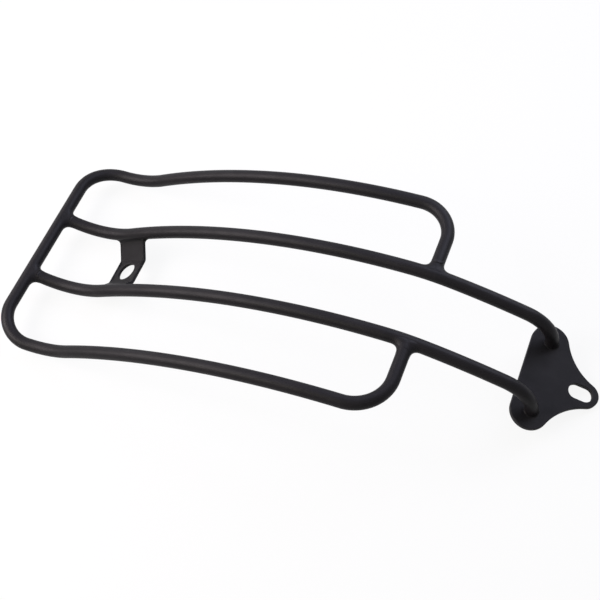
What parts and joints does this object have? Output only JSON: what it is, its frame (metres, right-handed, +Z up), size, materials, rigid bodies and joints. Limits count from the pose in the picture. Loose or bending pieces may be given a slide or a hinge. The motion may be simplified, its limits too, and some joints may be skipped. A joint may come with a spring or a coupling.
{
  "type": "motorcycle solo luggage rack",
  "caption": "Rigid black luggage rack of bent round bar: an arched outer loop welded to two inner rails, with a hat-shaped strap bracket below and a slotted mounting plate at the rails' feet.",
  "frame": {"origin": "middle of the rack's footprint, on the flat surface it lies on, resting on the strap's lower edge and the tip of the plate's ear", "axes": "+X along the rack towards the slotted plate, +Y to the rack's left, +Z up"},
  "size_m": [0.4332, 0.1738, 0.0706],
  "materials": {
    "bar_coat": "satin black powder coat on round steel bar",
    "plate_coat": "matte black powder coat on flat steel plate",
    "strap_coat": "satin black powder coat on folded steel strap",
    "weld_coat": "satin black powder coat over ground welds"
  },
  "bodies": {
    "root": {"outer_loop": "bar_coat", "inner_rail_left": "bar_coat", "inner_rail_right": "bar_coat", "slotted_plate": "plate_coat", "strap_bracket": "strap_coat", "weld_rail_to_cross_bar_left": "weld_coat", "weld_loop_end_left": "weld_coat", "weld_foot_left": "weld_coat", "weld_strap_left": "weld_coat", "weld_rail_to_cross_bar_right": "weld_coat", "weld_loop_end_right": "weld_coat", "weld_foot_right": "weld_coat", "weld_strap_right": "weld_coat"}
  },
  "joints": []
}
